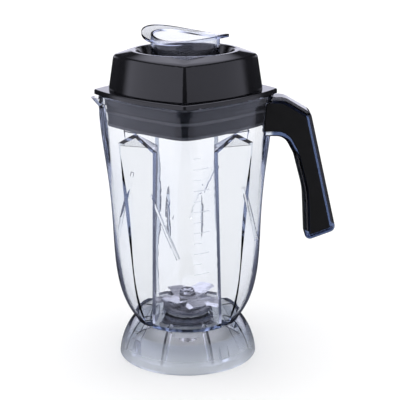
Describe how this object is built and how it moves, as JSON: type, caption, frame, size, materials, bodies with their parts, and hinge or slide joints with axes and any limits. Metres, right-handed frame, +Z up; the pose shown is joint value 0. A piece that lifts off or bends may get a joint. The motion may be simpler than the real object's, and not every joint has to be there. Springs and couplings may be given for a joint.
{
  "type": "blender jar",
  "caption": "Clear tapered blender jar with a side handle, black lid, clear filler cap and a bearing-mounted blade drive in its floor",
  "frame": {"origin": "on the jar's axis, in the plane of the base skirt's lower edge, at the mouth of the base socket", "axes": "+Z up along the jar's axis, +X towards the handle, -X towards the spout, -Y the side seen in the picture"},
  "size_m": [0.2288, 0.1694, 0.3149],
  "materials": {
    "clear_plastic": "clear moulded copolyester with a faint blue tint",
    "grip_plastic": "black moulded plastic, satin",
    "white_nylon": "natural white nylon, machined",
    "black_gloss": "black moulded plastic, glossy",
    "black_rubber": "black food-grade rubber",
    "stainless": "stainless steel, brushed",
    "bearing_steel": "ground bearing steel"
  },
  "bodies": {
    "jar": {"jar_body": "clear_plastic", "grip_insert_front": "grip_plastic", "grip_insert_rear": "grip_plastic", "housing_gasket": "black_rubber", "bearing_housing": "stainless", "shaft_seal": "black_rubber", "upper_outer_race": "bearing_steel", "lower_outer_race": "bearing_steel", "upper_bearing_balls": "bearing_steel", "lower_bearing_balls": "bearing_steel", "bearing_circlip": "bearing_steel", "retainer_washer": "stainless", "retainer_nut": "white_nylon"},
    "rotor": {"drive_shaft": "stainless", "drive_spline": "stainless", "blade_spacer": "stainless", "lower_blade": "stainless", "middle_blade": "stainless", "upper_blade": "stainless", "blade_washer": "stainless", "blade_nut": "stainless", "upper_inner_race": "bearing_steel", "lower_inner_race": "bearing_steel", "bearing_spacer": "bearing_steel"},
    "lid": {"lid": "black_gloss", "lid_seal": "black_rubber"},
    "cap": {"filler_cap": "clear_plastic"}
  },
  "joints": [
    {"name": "blade_spin", "type": "hinge", "parent": "jar", "child": "rotor", "pos_m": [0, 0, 0.05], "axis": [0, 0, 1], "continuous": true},
    {"name": "lid_lift", "type": "slide", "parent": "jar", "child": "lid", "axis": [0, 0, 1], "range_m": [0, 0.12]},
    {"name": "cap_lift", "type": "slide", "parent": "lid", "child": "cap", "axis": [0, 0, 1], "range_m": [0, 0.06]}
  ]
}
